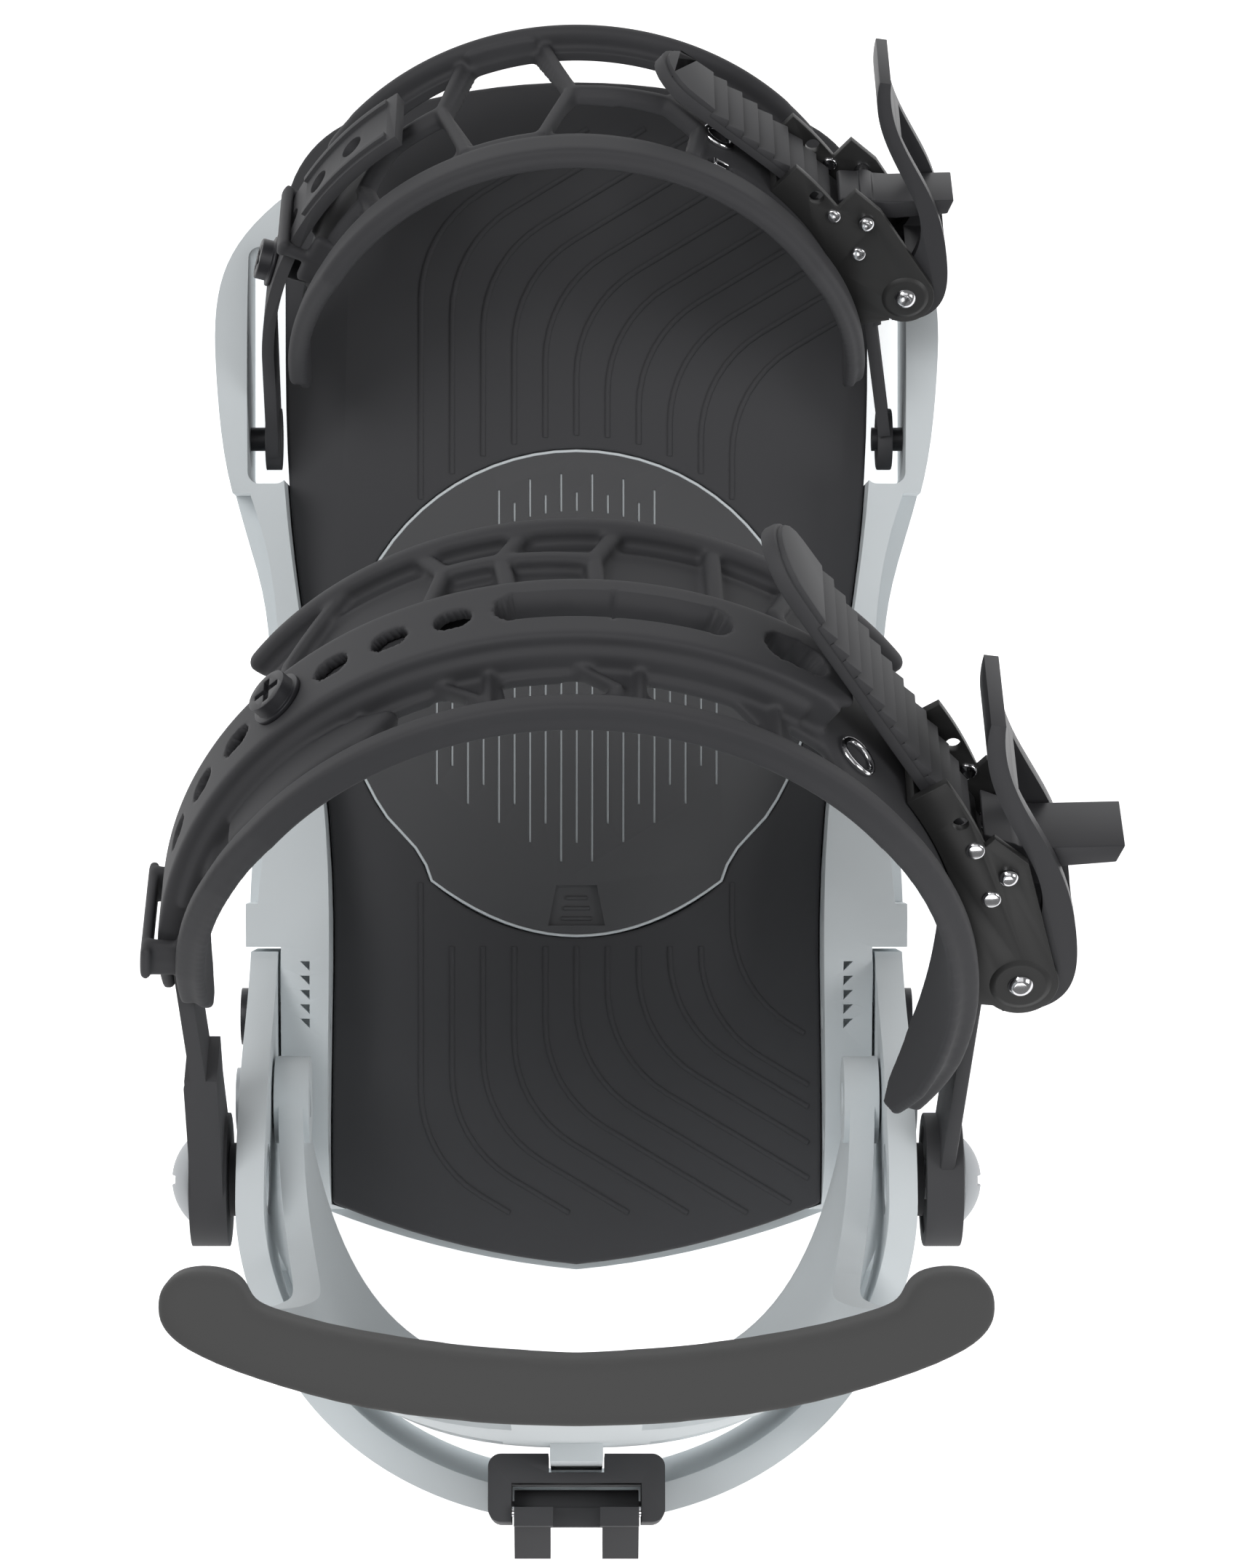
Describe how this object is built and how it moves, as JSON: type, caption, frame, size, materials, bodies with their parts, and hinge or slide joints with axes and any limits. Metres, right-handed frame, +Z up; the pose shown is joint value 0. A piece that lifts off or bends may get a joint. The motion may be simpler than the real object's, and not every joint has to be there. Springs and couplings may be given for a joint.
{
  "type": "snowboard strap binding",
  "caption": "Strap binding that holds one boot on a snowboard: base with disc, heelcup, leaning highback, and ratcheting ankle and toe straps.",
  "frame": {"origin": "centre of the mounting disc's four board bolts, on the surface of the board", "axes": "+Y towards the toe, +X towards the buckle side, +Z up from the board"},
  "size_m": [0.1879, 0.3066, 0.255],
  "materials": {
    "adjuster_plastic": "moulded black plastic",
    "bolt_grey": "satin grey",
    "buckle_black": "black anodised",
    "cover_plastic": "smooth moulded plastic",
    "disc_plastic": "moulded plastic",
    "foam_dark": "fine-grained dark foam",
    "foam_under": "closed-cell foam",
    "ladder_plastic": "flexible toothed strap",
    "lever_black": "satin black",
    "nylon_grey": "satin moulded nylon, cool light grey",
    "pad_rubber": "grained soft rubber",
    "steel_black": "black oxide screw",
    "steel_bright": "polished rivet steel",
    "strap_plastic": "flexible moulded strap"
  },
  "bodies": {
    "chassis": {"baseplate": "nylon_grey", "base_pad_front": "foam_under", "base_pad_rear": "foam_under", "footbed": "foam_dark", "heelcup_bolts": "steel_black", "toe_anchor_pins": "steel_black"},
    "disc": {"disc": "disc_plastic"},
    "disc_cover": {"disc_cover": "cover_plastic"},
    "heelcup": {"heelcup": "nylon_grey", "highback_pins": "bolt_grey", "ankle_bolts": "bolt_grey", "ankle_nuts": "steel_bright", "ankle_bushes": "strap_plastic"},
    "highback": {"highback": "nylon_grey", "highback_pad": "pad_rubber"},
    "lean_block": {"lean_block": "adjuster_plastic", "lean_lever_pin": "steel_bright"},
    "lean_lever": {"lean_lever": "adjuster_plastic"},
    "ankle_strap": {"ankle_strap_body": "strap_plastic", "ankle_extender": "ladder_plastic", "ankle_ladder": "ladder_plastic", "ankle_buckle_frame": "buckle_black", "ankle_buckle_pins": "steel_bright", "ankle_buckle_rivets": "steel_bright", "ankle_lever_spring": "steel_bright", "ankle_strap_screw": "steel_black", "ankle_strap_screw_nut": "steel_bright"},
    "ankle_lever": {"ankle_buckle_lever": "lever_black"},
    "ankle_release": {"ankle_release_lever": "lever_black"},
    "toe_strap": {"toe_strap_body": "strap_plastic", "toe_extender": "ladder_plastic", "toe_ladder": "ladder_plastic", "toe_buckle_frame": "buckle_black", "toe_buckle_pins": "steel_bright", "toe_buckle_rivets": "steel_bright", "toe_lever_spring": "steel_bright", "toe_strap_screw": "steel_black", "toe_strap_screw_nut": "steel_bright"},
    "toe_lever": {"toe_buckle_lever": "lever_black"},
    "toe_release": {"toe_release_lever": "lever_black"}
  },
  "joints": [
    {"name": "stance_angle", "type": "hinge", "parent": "chassis", "child": "disc", "pos_m": [0, 0, 0], "axis": [0, 0, 1], "range_deg": [-45, 45]},
    {"name": "disc_cover_lift", "type": "hinge", "parent": "chassis", "child": "disc_cover", "pos_m": [0, 0.0435, 0.0158], "axis": [-1, 0, 0], "range_deg": [0, 45]},
    {"name": "heelcup_adjust", "type": "slide", "parent": "chassis", "child": "heelcup", "axis": [0, -1, 0], "range_m": [0, 0.01]},
    {"name": "highback_fold", "type": "hinge", "parent": "heelcup", "child": "highback", "pos_m": [0, -0.092, 0.048], "axis": [-1, 0, 0], "range_deg": [0, 25]},
    {"name": "lean_slide", "type": "slide", "parent": "highback", "child": "lean_block", "axis": [0, 0.1783, 0.984], "range_m": [0, 0.012]},
    {"name": "lean_lever_flip", "type": "hinge", "parent": "lean_block", "child": "lean_lever", "pos_m": [0, -0.16738, 0.10865], "axis": [1, 0, 0], "range_deg": [0, 45]},
    {"name": "ankle_strap_swing", "type": "hinge", "parent": "heelcup", "child": "ankle_strap", "pos_m": [0, -0.107, 0.065], "axis": [-1, 0, 0], "range_deg": [-30, 25]},
    {"name": "ankle_lever_pull", "type": "hinge", "parent": "ankle_strap", "child": "ankle_lever", "pos_m": [0.08543, -0.05751, 0.10409], "axis": [0, 0.6198, -0.7848], "range_deg": [0, 55], "stiffness_Nm_per_rad": 0.02},
    {"name": "ankle_release_press", "type": "hinge", "parent": "ankle_strap", "child": "ankle_release", "pos_m": [0.08171, -0.03643, 0.12074], "axis": [0, -0.6198, 0.7848], "range_deg": [0, 12], "stiffness_Nm_per_rad": 0.02},
    {"name": "toe_strap_swing", "type": "hinge", "parent": "chassis", "child": "toe_strap", "pos_m": [0, 0.046, 0.018], "axis": [-1, 0, 0], "range_deg": [-35, 0]},
    {"name": "toe_lever_pull", "type": "hinge", "parent": "toe_strap", "child": "toe_lever", "pos_m": [0.06729, 0.07941, 0.0441], "axis": [0, 0.6157, -0.788], "range_deg": [0, 55], "stiffness_Nm_per_rad": 0.02},
    {"name": "toe_release_press", "type": "hinge", "parent": "toe_strap", "child": "toe_release", "pos_m": [0.05872, 0.0935, 0.05511], "axis": [0, -0.6157, 0.788], "range_deg": [0, 12], "stiffness_Nm_per_rad": 0.02}
  ]
}
